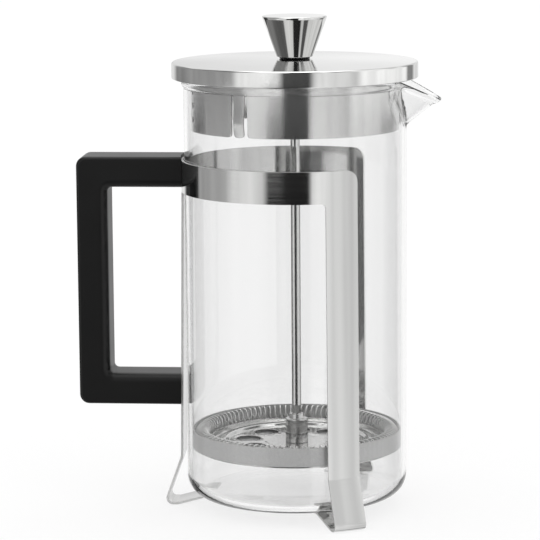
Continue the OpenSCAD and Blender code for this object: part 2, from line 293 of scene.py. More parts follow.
@dataclass(frozen=True)
class MouldedPlastic:
    """Black polypropylene moulded in a finely sparked tool: a satin skin.

    Attributes:
        name: The finish in plain words.
        colour: sRGB hex of the plastic.
        grain_mm: Size of the moulded grain.
        gloss: Specular level of the skin.
    """

    name: str = "black satin polypropylene"
    colour: str = "101010"
    grain_mm: float = 0.35
    gloss: float = 0.3

    def make(self) -> bpy.types.Material:
        """Builds the material.

        Returns:
            The finished material.
        """
        material, tree = empty_material(self.name)
        cells = 1 / (self.grain_mm * MM)
        grain = object_noise(tree, (cells, cells, cells), 2.0)
        touch = object_noise(tree, (35.0, 35.0, 35.0), 3.0)
        rough = add_node(tree, "ShaderNodeMapRange", {"To Min": 0.3, "To Max": 0.44},
                         {"Value": touch.outputs["Fac"]})
        bump = add_node(tree, "ShaderNodeBump", {"Strength": 0.25, "Distance": 0.03 * MM},
                        {"Height": grain.outputs["Fac"]})
        shader = add_node(tree, "ShaderNodeBsdfPrincipled",
                          {"Base Color": linear(self.colour), "IOR": 1.49,
                           "Specular IOR Level": self.gloss},
                          {"Roughness": rough.outputs[0], "Normal": bump.outputs[0]})
        close_material(tree, shader)
        return material


@dataclass
class Finishes:
    """All the finishes of the press, made once and shared by its pieces."""

    # Rolled sheet, belt brushed along the band: the reflections keep crisp
    # upright edges, with faint streaks across them.
    band: bpy.types.Material = field(default_factory=StainlessSteel(
        "brushed stainless sheet", "D2D2D1", 0.085, 0.04, Grain.AROUND, 0.004).make)
    # Sheared edge, tumbled smooth and rough, in steel paler than the sheet: a painted highlight,
    # a soft pale line round the bright sheet.
    edge: bpy.types.Material = field(default_factory=StainlessSteel(
        "tumbled sheet edge with painted highlight", "F0F0EF", 0.7, 0.06, Grain.EVEN, 0.004).make)
    # Drawn sheet, buffed: a quiet, near-mirror top and bands on its rim.
    lid: bpy.types.Material = field(default_factory=StainlessSteel(
        "polished stainless lid", "D8D8D7", 0.075, 0.03, Grain.EVEN, 0.001).make)
    # Mill-finished sheet, rolled up: bands as on the rim, a little softer.
    collar: bpy.types.Material = field(default_factory=StainlessSteel(
        "bright rolled stainless", "D2D2D1", 0.11, 0.05, Grain.LENGTHWISE, 0.003).make)
    # Turned and buffed to a mirror: hard black and white stripes.
    chrome: bpy.types.Material = field(default_factory=StainlessSteel(
        "mirror polished steel", "DCDCDB", 0.035, 0.015, Grain.AROUND, 0.001).make)
    # Turned bar, not polished: a grey satin with fine rings.
    turned: bpy.types.Material = field(default_factory=StainlessSteel(
        "turned stainless", "CACAC9", 0.17, 0.05, Grain.AROUND, 0.006).make)
    # Drawn wire, pickled pale: loops that are light with soft shadows.
    wire: bpy.types.Material = field(default_factory=StainlessSteel(
        "drawn stainless wire", "FAFAF9", 0.38, 0.05, Grain.EVEN, 0.002).make)
    # Punched hole, the wall torn by the tool and rough, in steel far darker than the sheet:
    # painted shade in the hole, a thin dark line.
    punched: bpy.types.Material = field(default_factory=StainlessSteel(
        "punched hole wall with painted shade", "5C5C5B", 0.45, 0.06, Grain.EVEN, 0.004).make)
    # Turned brass: dull yellow, seen only with the handle off.
    brass: bpy.types.Material = field(default_factory=StainlessSteel(
        "turned brass", "C9A35A", 0.22, 0.06, Grain.EVEN, 0.004).make)
    # Woven wire cloth, pressed to a cup: its fine wires scatter light as a matt
    # skin does, so it is mostly diffuse and reads as an even light grey.
    mesh: bpy.types.Material = field(default_factory=WovenSteel().make)
    # Blown in a mould: clear, with lines that waver slightly at the walls.
    glass: bpy.types.Material = field(default_factory=Borosilicate().make)
    # Moulded in a sparked tool: a deep black satin, soft along its edges.
    plastic: bpy.types.Material = field(default_factory=MouldedPlastic().make)


# ------------------------------------------------------------ shape helpers


@dataclass(frozen=True)
class Corner:
    """A corner of an outline in millimetres, rounded to radius r."""

    x: float
    y: float
    r: float = 0.0


def outline(corners: Sequence[Corner], closed: bool = True,
            steps: int = 6) -> list[Vector]:
    """Rounds the corners of an outline.

    Args:
        corners: The corners in order, in millimetres.
        closed: Whether the last corner joins the first.
        steps: Straight pieces in each rounded corner.

    Returns:
        The points of the outline in metres, as 2-D vectors.
    """
    points: list[Vector] = []
    count = len(corners)
    for i, corner in enumerate(corners):
        here = Vector((corner.x, corner.y))
        at_end = not closed and i in (0, count - 1)
        if corner.r <= 0 or at_end:
            points.append(here * MM)
            continue
        before, after = corners[i - 1], corners[(i + 1) % count]
        back = (Vector((before.x, before.y)) - here).normalized()
        ahead = (Vector((after.x, after.y)) - here).normalized()
        half = back.angle(ahead) / 2
        centre = here + (back + ahead).normalized() * (corner.r / math.sin(half))
        start = here + back * (corner.r / math.tan(half)) - centre
        swing = start.angle_signed(here + ahead * (corner.r / math.tan(half)) - centre)
        for k in range(steps + 1):
            turn = Matrix.Rotation(-swing * k / steps, 2)
            points.append((centre + turn @ start) * MM)
    return points


def axis_place() -> Vector:
    """Gives the point where the beaker's axis meets the floor."""
    low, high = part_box("lid_cover")
    return Vector(((low[0] + high[0]) / 2, (low[1] + high[1]) / 2, 0.0))


def to_object(bm: bmesh.types.BMesh, name: str, material: bpy.types.Material,
              sharp_degrees: float = 35.0, place: Vector | None = None) -> bpy.types.Object:
    """Turns a bmesh to an object at the origin, smooth but for its sharp edges.

    Args:
        bm: The mesh, in metres; it is freed.
        name: Name of the new object.
        material: Finish of the new object.
        sharp_degrees: Edges that bend more than this stay sharp.
        place: Move of the mesh before it is stored; the beaker axis if None.

    Returns:
        The new object, linked to the scene.
    """
    bmesh.ops.translate(bm, verts=bm.verts, vec=axis_place() if place is None else place)
    for face in bm.faces:
        face.smooth = True
    for edge in bm.edges:
        edge.smooth = edge.calc_face_angle(0.0) < math.radians(sharp_degrees)
    mesh = bpy.data.meshes.new(name)
    bm.to_mesh(mesh)
    bm.free()
    piece = bpy.data.objects.new(name, mesh)
    bpy.context.scene.collection.objects.link(piece)
    mesh.materials.append(material)
    return piece


def lathe(points: Sequence[Vector], closed: bool, steps: int = 128) -> bmesh.types.BMesh:
    """Spins a half profile round the Z axis.

    Args:
        points: Profile points as (radius, height), in metres.
        closed: Whether the last point joins the first, as in a ring.
        steps: Pieces in the full turn.

    Returns:
        The closed surface as a bmesh.
    """
    bm = bmesh.new()
    verts = [bm.verts.new((p.x, 0.0, p.y)) for p in points]
    edges = [bm.edges.new(pair) for pair in zip(verts, verts[1:])]
    if closed:
        edges.append(bm.edges.new((verts[-1], verts[0])))
    bmesh.ops.spin(bm, geom=verts + edges, cent=(0, 0, 0), axis=(0, 0, 1),
                   angle=TURN, steps=steps, use_merge=True)
    bmesh.ops.remove_doubles(bm, verts=bm.verts, dist=1e-6)
    bmesh.ops.recalc_face_normals(bm, faces=bm.faces)
    return bm


def thicken(piece: bpy.types.Object, thickness_mm: float, edge_mm: float,
            edge_finish: bpy.types.Material | None = None) -> None:
    """Gives a sheet its thickness and eased edges, and stores the result.

    Args:
        piece: A sheet of one layer, in the middle of the finished one.
        thickness_mm: Thickness of the finished sheet.
        edge_mm: Width of the eased edge.
        edge_finish: Finish of the cut edge; that of the sheet if None.
    """
    wall = piece.modifiers.new("wall", "SOLIDIFY")
    if edge_finish:
        piece.data.materials.append(edge_finish)
        wall.material_offset_rim = 1
    wall.thickness = thickness_mm * MM
    wall.offset = 0.0
    wall.use_even_offset = True
    ease = piece.modifiers.new("ease", "BEVEL")
    ease.width = edge_mm * MM
    ease.segments = 2
    ease.limit_method = "ANGLE"
    ease.angle_limit = math.radians(50)
    ease.harden_normals = False
    store(piece)


def store(piece: bpy.types.Object) -> None:
    """Replaces a piece's mesh by what its modifiers make of it.

    Args:
        piece: The piece, which loses its modifiers.
    """
    graph = bpy.context.evaluated_depsgraph_get()
    mesh = bpy.data.meshes.new_from_object(piece.evaluated_get(graph))
    piece.modifiers.clear()
    piece.data = mesh


def drill(piece: bpy.types.Object, places: Iterable[Matrix], radius_mm: float,
          length_mm: float, edge_finish: bpy.types.Material) -> None:
    """Cuts equal round holes through a piece.

    Args:
        piece: The piece to cut.
        places: Where each drill stands; it points along its own Z.
        radius_mm: Radius of each hole.
        length_mm: Length of the drill, half of it on each side of its place.
        edge_finish: Finish of the holes' walls.
    """
    bm = bmesh.new()
    for place in places:
        bmesh.ops.create_cone(bm, cap_ends=True, segments=40, radius1=radius_mm * MM,
                              radius2=radius_mm * MM, depth=length_mm * MM, matrix=place)
    drills = to_object(bm, "drills", edge_finish)
    cut = piece.modifiers.new("holes", "BOOLEAN")
    cut.operation = "DIFFERENCE"
    cut.solver = "EXACT"
    cut.material_mode = "TRANSFER"
    cut.object = drills
    store(piece)
    bpy.data.objects.remove(drills)


def true_normals(piece: bpy.types.Object) -> None:
    """Keeps flat and round faces true next to their narrow eased edges.

    Args:
        piece: The piece whose normals are weighted by the size of its faces.
    """
    shading = piece.modifiers.new("shading", "WEIGHTED_NORMAL")
    shading.keep_sharp = True
    shading.weight = 80
    store(piece)


def publish(piece: bpy.types.Object, body: Body, slot: str, *nodes: str) -> None:
    """Gives a finished piece true normals, hangs it on its body, hides the CAD nodes it stands
    for and logs it.

    Args:
        piece: The finished piece.
        body: The body it moves with.
        slot: The record's material slot of its finish; not used.
        *nodes: The CAD nodes that it stands for.
    """
    true_normals(piece)
    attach(piece, body.value)
    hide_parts(*nodes)
    LOG.info("%s: %d faces on %s", piece.name, len(piece.data.polygons), body.value)


def dress(node: str, material: bpy.types.Material) -> None:
    """Gives a CAD node that stays a new finish.

    Args:
        node: Name of the node.
        material: Its finish.
    """
    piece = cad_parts[node]
    piece.data.materials.clear()
    piece.data.materials.append(material)
    LOG.info("%s: CAD shape kept", node)


@dataclass
class BentSheet:
    """A flat blank that is rolled round the beaker axis and bent along a path.

    Attributes:
        path: Middle line of the sheet as (radius, height) in metres.
        roll_radius: Radius at which the blank's width is measured, in metres.
        step_degrees: Angle between the cuts that let the blank curve.
    """

    path: Sequence[Vector]
    roll_radius: float
    step_degrees: float = 1.5

    def point_at(self, distance: float) -> Vector:
        """Finds a point of the path.

        Args:
            distance: Distance from the path's start, in metres.

        Returns:
            The point as (radius, height).
        """
        left = max(distance, 0.0)
        for a, b in zip(self.path, self.path[1:]):
            length = (b - a).length
            if left <= length:
                return a.lerp(b, left / length)
            left -= length
        return Vector(self.path[-1])

    def length(self) -> float:
        """Gives the length of the path in metres."""
        return sum((b - a).length for a, b in zip(self.path, self.path[1:]))

    def blank(self, edge: Sequence[Vector]) -> bmesh.types.BMesh:
        """Cuts the flat blank to narrow strips that can bend.

        Args:
            edge: Outline of the blank as (width, distance along the path).

        Returns:
            The blank in the XY plane.
        """
        bm = bmesh.new()
        bm.faces.new([bm.verts.new((p.x, p.y, 0.0)) for p in edge])
        reach = max(abs(p.x) for p in edge)
        step = self.roll_radius * math.radians(self.step_degrees)
        cuts = [((k * step, 0, 0), (1, 0, 0))
                for k in range(-int(reach / step), int(reach / step) + 1)]
        travelled = 0.0
        for a, b in zip(self.path, self.path[1:]):
            travelled += (b - a).length
            cuts.append(((0, travelled, 0), (0, 1, 0)))
        for where, normal in cuts:
            geometry = list(bm.verts) + list(bm.edges) + list(bm.faces)
            bmesh.ops.bisect_plane(bm, geom=geometry, dist=1e-7, plane_co=where,
                                   plane_no=normal)
        return bm

    def roll(self, bm: bmesh.types.BMesh, start_angle: float,
             centre_of: Callable[[float, float], float] | None = None) -> None:
        """Rolls and bends the blank in place.

        Args:
            bm: The blank.
            start_angle: Direction of the blank's middle, in radians.
            centre_of: Gives the angle of the strap that a point belongs to,
                for straps that keep their width as they leave the roll.
        """
        for vert in bm.verts:
            angle = vert.co.x / self.roll_radius
            at = self.point_at(vert.co.y)
            centre = centre_of(angle, vert.co.y) if centre_of else angle
            across = self.roll_radius * math.sin(angle - centre)
            angle = centre + math.asin(max(-1.0, min(1.0, across / at.x)))
            turned = start_angle + angle
            vert.co = (at.x * math.cos(turned), at.x * math.sin(turned), at.y)


# ----------------------------------------------------------- sub-assemblies


@dataclass
class Stand:
    """The steel frame with its three legs, and the handle with its fasteners."""

    finishes: Finishes
    band_radius: float = 48.8
    band_top: float = 152.5
    band_height: float = 13.6
    sheet: float = 1.0
    leg_width: float = 14.4
    leg_lean: float = 1.6
    bend_height: float = 21.5
    foot_reach: float = 58.0
    foot_inner: float = 35.0
    foot_land: float = 3.0
    foot_bend: float = 2.4
    band_corner: float = 5.0
    leg_fillet: float = 2.0
    foot_corner: float = 0.8
    fit_gap: float = 0.05
    front_leg: float = math.radians(62.4)
    handle_reach: float = 94.3
    handle_depth: float = 13.4
    handle_width: float = 20.0
    handle_top: float = 154.0
    handle_bottom: float = 45.4
    handle_corner: float = 4.2
    gap_corner: float = 2.0
    gap_edge: float = 3.4
    outer_edge: float = 1.4

    def leg_path(self) -> list[Vector]:
        """Draws the middle line of the sheet.

        Returns:
            Points from the band's top to a foot's end, as (radius, height).
        """
        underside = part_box("glass_beaker")[0][2] / MM
        rest = underside - self.fit_gap - self.sheet / 2
        land_end = self.foot_reach - self.foot_land - self.foot_bend
        return outline([
            Corner(self.band_radius, self.band_top),
            Corner(self.band_radius, self.band_top - self.band_height),
            Corner(self.band_radius + self.leg_lean, self.bend_height, 1.6),
            Corner(self.foot_reach, self.sheet / 2, self.foot_bend),
            Corner(land_end, self.sheet / 2, 3.0),
            Corner(self.foot_inner + self.foot_land, rest, 3.0),
            Corner(self.foot_inner, rest),
        ], closed=False, steps=8)

    def build_frame(self) -> None:
        """Builds the one-piece frame from its flat blank."""
        sheet = BentSheet(self.leg_path(), self.band_radius * MM)
        half = math.asin(self.leg_width / 2 / (self.band_radius + self.sheet / 2))
        side = math.pi - self.front_leg
        leg, wide = self.band_radius * side, self.band_radius * half
        top, foot = self.band_height, sheet.length() / MM - 0.01
        corners = [Corner(-leg - wide, 0, self.band_corner),
                   Corner(leg + wide, 0, self.band_corner)]
        strap = ((wide, top, self.leg_fillet), (wide, foot, self.foot_corner),
                 (-wide, foot, self.foot_corner), (-wide, top, self.leg_fillet))
        for middle in (leg, 0.0, -leg):
            for step, (at, y, r) in enumerate(strap):
                outer = abs(middle + at) > leg + wide / 2
                if not (outer and step in (0, 3)):
                    corners.append(Corner(middle + at, y, r))
        bm = sheet.blank(outline(corners, steps=7))

        def centre_of(angle: float, distance: float) -> float:
            """Finds the strap that a point of the blank belongs to.

            Args:
                angle: Direction of the point on the rolled blank, in radians.
                distance: Distance of the point from the band's top, in metres.

            Returns:
                Direction of the strap's middle; the point's own in the band.
            """
            if distance <= top * MM:
                return angle
            return side * round(angle / side)

        sheet.roll(bm, math.pi, centre_of)
        piece = to_object(bm, "steel_frame", self.finishes.band)
        # The cut edges get the paler edge steel: a painted highlight.
        thicken(piece, self.sheet, 0.16, self.finishes.edge)
        publish(piece, Body.STAND, "brushed_steel", "frame")

    def build_handle(self) -> None:
        """Builds the square C of the handle, its edges eased."""
        reach, deep = self.handle_reach, self.handle_depth
        top, low = self.handle_top, self.handle_bottom
        root = -self.band_radius + 6
        bm = bmesh.new()
        points = outline([
            Corner(root, low), Corner(root, low + deep),
            Corner(-reach + deep, low + deep, self.gap_corner),
            Corner(-reach + deep, top - deep, self.gap_corner),
            Corner(root, top - deep), Corner(root, top),
            Corner(-reach, top, self.handle_corner),
            Corner(-reach, low, self.handle_corner)], steps=8)
        face = bm.faces.new([bm.verts.new((p.x, self.handle_width / 2 * MM, p.y))
                             for p in points])
        grown = bmesh.ops.extrude_face_region(bm, geom=[face])["geom"]
        moved = [v for v in grown if isinstance(v, bmesh.types.BMVert)]
        bmesh.ops.translate(bm, verts=moved, vec=(0, -self.handle_width * MM, 0))
        bmesh.ops.recalc_face_normals(bm, faces=bm.faces)
        for inner, width in ((True, self.gap_edge), (False, self.outer_edge)):
            bmesh.ops.bevel(bm, geom=self.long_edges(bm, inner), offset=width * MM,
                            segments=5, profile=0.5, affect="EDGES", material=-1)
        self.fit_to_band(bm)
        piece = to_object(bm, "handle_grip", self.finishes.plastic, 60)
        publish(piece, Body.STAND, "black_plastic", "handle")

    def long_edges(self, bm: bmesh.types.BMesh, inner: bool) -> list:
        """Picks the long edges on both sides of the handle.

        Args:
            bm: The extruded handle.
            inner: Whether to pick the edges round the finger gap.

        Returns:
            The picked edges.
        """
        def in_gap(vert: bmesh.types.BMVert) -> bool:
            """Tells whether a vertex lies on the edge of the finger gap.

            Args:
                vert: A vertex of the handle.

            Returns:
                True on the gap's edge.
            """
            inside = self.handle_bottom < vert.co.z / MM < self.handle_top
            level = min(vert.co.z / MM - self.handle_bottom, self.handle_top - vert.co.z / MM)
            return (inside and level > self.handle_depth - 0.01
                    and vert.co.x / MM > -self.handle_reach + self.handle_depth - 0.01)

        picked = []
        for edge in bm.edges:
            a, b = edge.verts
            on_side = all(abs(abs(v.co.y) - self.handle_width / 2 * MM) < 1e-6 for v in (a, b))
            flat = len(edge.link_faces) == 2 and edge.calc_face_angle(0.0) > 1.0
            upright = abs(a.co.x - b.co.x) < 1e-6 and a.co.x / MM > -self.band_radius
            if on_side and flat and not upright and in_gap(a) == inner and in_gap(b) == inner:
                picked.append(edge)
        return picked

    def fit_to_band(self, bm: bmesh.types.BMesh) -> None:
        """Shapes the ends of both arms to the curve of the band and the leg.

        Args:
            bm: The handle; its ends are cut to strips and moved.
        """
        for k in range(-3, 4):
            bmesh.ops.bisect_plane(bm, geom=list(bm.verts) + list(bm.edges) + list(bm.faces),
                                   dist=1e-7, plane_co=(0, k * 2.6 * MM, 0),
                                   plane_no=(0, 1, 0))
        for vert in bm.verts:
            if vert.co.x / MM > -self.band_radius:
                drop = max(0.0, self.band_top - self.band_height - vert.co.z / MM)
                lean = self.leg_lean * drop / (self.band_top - self.band_height
                                               - self.bend_height)
                radius = (self.band_radius + self.sheet / 2 + lean + self.fit_gap) * MM
                vert.co.x = -math.sqrt(radius ** 2 - vert.co.y ** 2)

    def build(self) -> None:
        """Builds the stand."""
        self.build_frame()
        self.build_handle()
        dress("handle_inserts", self.finishes.brass)
        dress("handle_screws", self.finishes.turned)


@dataclass
class Beaker:
    """The glass beaker with its spout, flared rim and rounded bottom edge."""

    finishes: Finishes
    radius: float = 48.0
    wall: float = 1.8
    floor: float = 2.4
    corner: float = 9.0
    base: float = 5.0
    rim: float = 187.5
    flare: float = 0.9
    bead: float = 0.35
    spout_out: float = 14.85
    spout_rise: float = math.radians(37)
    spout_fall: float = math.radians(31)
    spout_half_width: float = 17.0

    def profile(self) -> list[Vector]:
        """Draws the half profile of the wall.

        Returns:
            Points from the outside of the floor over the rim to its inside.
        """
        inner = self.radius - self.wall
        lip = self.radius + self.flare
        corners = [
            Corner(0.0, self.base + 0.4), Corner(self.radius - 2 * self.corner, self.base, 20.0),
            Corner(self.radius, self.base, self.corner),
            Corner(self.radius, self.rim - 3.6, 1.5), Corner(lip, self.rim - 2.4, 1.4),
            Corner(lip, self.rim, 1.45), Corner(inner - self.bead, self.rim, 1.45),
            Corner(inner - self.bead, self.rim - 2.4, 1.4), Corner(inner, self.rim - 3.6, 1.5),
            Corner(inner, self.base + self.floor, self.corner - self.wall),
            Corner(0.0, self.base + self.floor + 0.3)]
        points = outline(corners, closed=False, steps=8)
        return self.with_rows(points)

    def with_rows(self, points: list[Vector]) -> list[Vector]:
        """Adds rows of points along the upright walls below the spout.

        Args:
            points: The half profile.

        Returns:
            The profile with the rows that the spout is shaped from.
        """
        rows: list[Vector] = []
        for a, b in zip(points, points[1:]):
            rows.append(a)
            count = int(abs(b.y - a.y) / (1.2 * MM)) if max(a.y, b.y) > 0.15 else 0
            top = a if a.y > b.y else b
            for k in range(1, count):
                fraction = k / count
                height = a.y + (b.y - a.y) * fraction
                if top.y - height < 34 * MM:
                    rows.append(a.lerp(b, fraction))
        rows.append(points[-1])
        return rows

    def spout_shift(self, angle: float, height: float) -> float:
        """Gives how far the wall moves outwards to form the spout.

        Args:
            angle: Direction from the spout, in radians.
            height: Height above the floor in millimetres.

        Returns:
            The shift in millimetres.
        """
        tip_height = self.rim - self.spout_out * math.tan(self.spout_fall)
        root = tip_height - self.spout_out * math.tan(self.spout_rise)
        grown = (height - root) / (tip_height - root)
        if grown <= -0.12:
            return 0.0
        soft = 0.06
        depth = self.spout_out * (grown + math.sqrt(grown ** 2 + soft ** 2)) / 2
        width = self.spout_half_width * max(0.25, min(1.0, 0.35 + 0.65 * grown))
        across = abs(angle) * self.radius / width
        if across >= 1:
            return 0.0
        return min(depth, self.spout_out) * (1 - across) ** 1.15 * (1 + 1.15 * across)

    def build(self) -> None:
        """Builds the beaker."""
        bm = lathe(self.profile(), closed=False, steps=360)
        tip_drop = self.spout_out * math.tan(self.spout_fall)
        start = self.rim - 30.0
        for vert in bm.verts:
            radius = math.hypot(vert.co.x, vert.co.y)
            height = vert.co.z / MM
            if height < start or radius < 1 * MM:
                continue
            angle = math.atan2(vert.co.y, vert.co.x)
            at_lip = self.spout_shift(angle, self.rim - tip_drop)
            lowered = at_lip * math.tan(self.spout_fall)
            height -= lowered * (height - start) / (self.rim - start)
            shift = self.spout_shift(angle, height) * MM
            vert.co.x += shift
            vert.co.z = height * MM
        bmesh.ops.recalc_face_normals(bm, faces=bm.faces)
        piece = to_object(bm, "beaker_glass", self.finishes.glass, 60)
        publish(piece, Body.BEAKER, "glass", "glass_beaker")


@dataclass
class Lid:
    """The lid: cover, slotted collar, and the bush that guides the rod."""

    finishes: Finishes
    radius: float = 53.0
    crown: float = 1.2
    sheet: float = 0.7
    collar_radius: float = 44.8
    collar_depth: float = 21.9
    slot_width: float = 1.4
    tab_width: float = 4.8
    tab_bulge: float = 0.8
    first_tab: float = math.radians(3.4)
    tabs: int = 3
    slot_start: float = 3.4
    strainer_radius: float = 1.4
    strainer_pitch: float = 5.9
    strainer_step: float = math.radians(11)

    def build_cover(self) -> None:
        """Builds the crowned cover with its turned-down rim."""
        low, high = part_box("lid_cover")
        middle, bottom = high[2] / MM, low[2] / MM
        top = middle - self.crown
        inside = self.radius - self.sheet
        crowned = [Corner(r, middle - self.crown * (r / self.radius) ** 2 - 0.1, 0)
                   for r in (4.05, 10.0, 20.0, 30.0, 40.0, 48.0)]
        under = [Corner(c.x, c.y - self.sheet) for c in reversed(crowned)]
        points = outline([
            *crowned, Corner(self.radius, top, 0.9),
            Corner(self.radius, bottom, 0.3), Corner(inside, bottom, 0.3),
            Corner(inside, top - self.sheet, 0.4), *under], steps=5)
        piece = to_object(lathe(points, True, 192), "lid_top", self.finishes.lid)
        publish(piece, Body.LID, "polished_steel", "lid_cover")

    def collar_edge(self, sheet: BentSheet) -> list[Vector]:
        """Gives the outline of the collar's blank, slots and all.

        Args:
            sheet: The bent sheet that the blank becomes.

        Returns:
            Outline points; distance runs down from the flange's edge.
        """
        around = self.collar_radius - self.sheet / 2
        end = around * math.pi
        full = sheet.length() / MM - 0.005
        slot_top = full - self.collar_depth + self.slot_start
        corners = [Corner(-end, 0), Corner(end, 0), Corner(end, full)]
        for k in reversed(range(self.tabs)):
            middle = around * (k - 1) * TURN / self.tabs
            for side in (1, -1):
                at = middle + side * (self.tab_width + self.slot_width) / 2
                half = self.slot_width / 2
                corners += [Corner(at + half, full, 1.7),
                            Corner(at + half, slot_top, 0.69),
                            Corner(at - half, slot_top, 0.69),
                            Corner(at - half, full, 1.7)]
        corners.append(Corner(-end, full))
        return outline(corners, steps=5)

    def build_collar(self) -> None:
        """Builds the collar with its flange, spring tabs and strainer holes."""
        low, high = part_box("lid_collar")
        bottom = low[2] / MM
        level = high[2] / MM - self.sheet / 2
        around = self.collar_radius - self.sheet / 2
        path = outline([Corner(self.radius - self.sheet - 0.4, level),
                        Corner(around, level, 1.1), Corner(around, bottom)],
                       closed=False, steps=6)
        rows = [path[-2].lerp(path[-1], k / 12) for k in range(1, 12)]
        sheet = BentSheet(path[:-1] + rows + path[-1:], around * MM, 2.0)
        bm = sheet.blank(self.collar_edge(sheet))
        self.spring_tabs(bm, sheet)
        piece = to_object(bm, "lid_skirt", self.finishes.collar)
        # The cut edges get the paler edge steel: a painted highlight.
        thicken(piece, self.sheet, 0.1, self.finishes.edge)
        holes = []
        highest = bottom + self.collar_depth - self.slot_start - self.strainer_radius
        for column in range(-2, 3):
            for row in range(3):
                angle = math.pi + self.strainer_step * column
                height = (highest - self.strainer_pitch * row) * MM
                where = Vector((around * math.cos(angle), around * math.sin(angle), 0)) * MM
                holes.append(Matrix.Translation(where + Vector((0, 0, height)))
                             @ Matrix.Rotation(angle, 4, "Z")
                             @ Matrix.Rotation(math.pi / 2, 4, "Y"))
        # The hole walls get the dark punched steel: painted shade in the holes.
        drill(piece, holes, self.strainer_radius, 4, self.finishes.punched)
        publish(piece, Body.LID, "collar_steel", "lid_collar")

    def spring_tabs(self, bm: bmesh.types.BMesh, sheet: BentSheet) -> None:
        """Rolls the blank and bows the tabs out towards the glass.

        Args:
            bm: The flat blank, which is rolled here.
            sheet: The bent sheet that the blank becomes.
        """
        around = self.collar_radius - self.sheet / 2
        full = sheet.length()
        bows = {}
        for vert in bm.verts:
            for k in range(self.tabs):
                middle = around * (k - 1) * TURN / self.tabs * MM
                near = abs(vert.co.x - middle) < (self.tab_width + 0.2) / 2 * MM
                down = (vert.co.y - full) / MM + self.collar_depth - 4.0
                if near and down > 0:
                    share = down / (self.collar_depth - 4.0)
                    bow = math.sin(math.pi * min(1.0, share ** 2.2 * 1.12))
                    bows[vert] = self.tab_bulge * bow
        sheet.roll(bm, self.first_tab + TURN / self.tabs)
        for vert, bow in bows.items():
            outward = Vector((vert.co.x, vert.co.y, 0)).normalized()
            vert.co += outward * bow * MM
        bmesh.ops.remove_doubles(bm, verts=bm.verts, dist=2e-6)
        bmesh.ops.recalc_face_normals(bm, faces=bm.faces)

    def build_bush(self) -> None:
        """Builds the black bush that the rod slides in."""
        low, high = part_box("rod_bush")
        flange = (high[0] - low[0]) / 2 / MM
        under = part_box("lid_cover")[1][2] / MM + 0.05
        points = outline([
            Corner(2.12, low[2] / MM), Corner(4.0, low[2] / MM, 0.3), Corner(4.0, under),
            Corner(flange, under, 0.15), Corner(flange, high[2] / MM, 0.2),
            Corner(2.12, high[2] / MM)], steps=3)
        piece = to_object(lathe(points, True, 64), "rod_guide_bush", self.finishes.plastic)
        publish(piece, Body.GUIDE, "black_plastic", "rod_bush")

    def build(self) -> None:
        """Builds the lid."""
        self.build_cover()
        self.build_collar()
        self.build_bush()
        dress("bush_nut", self.finishes.plastic)


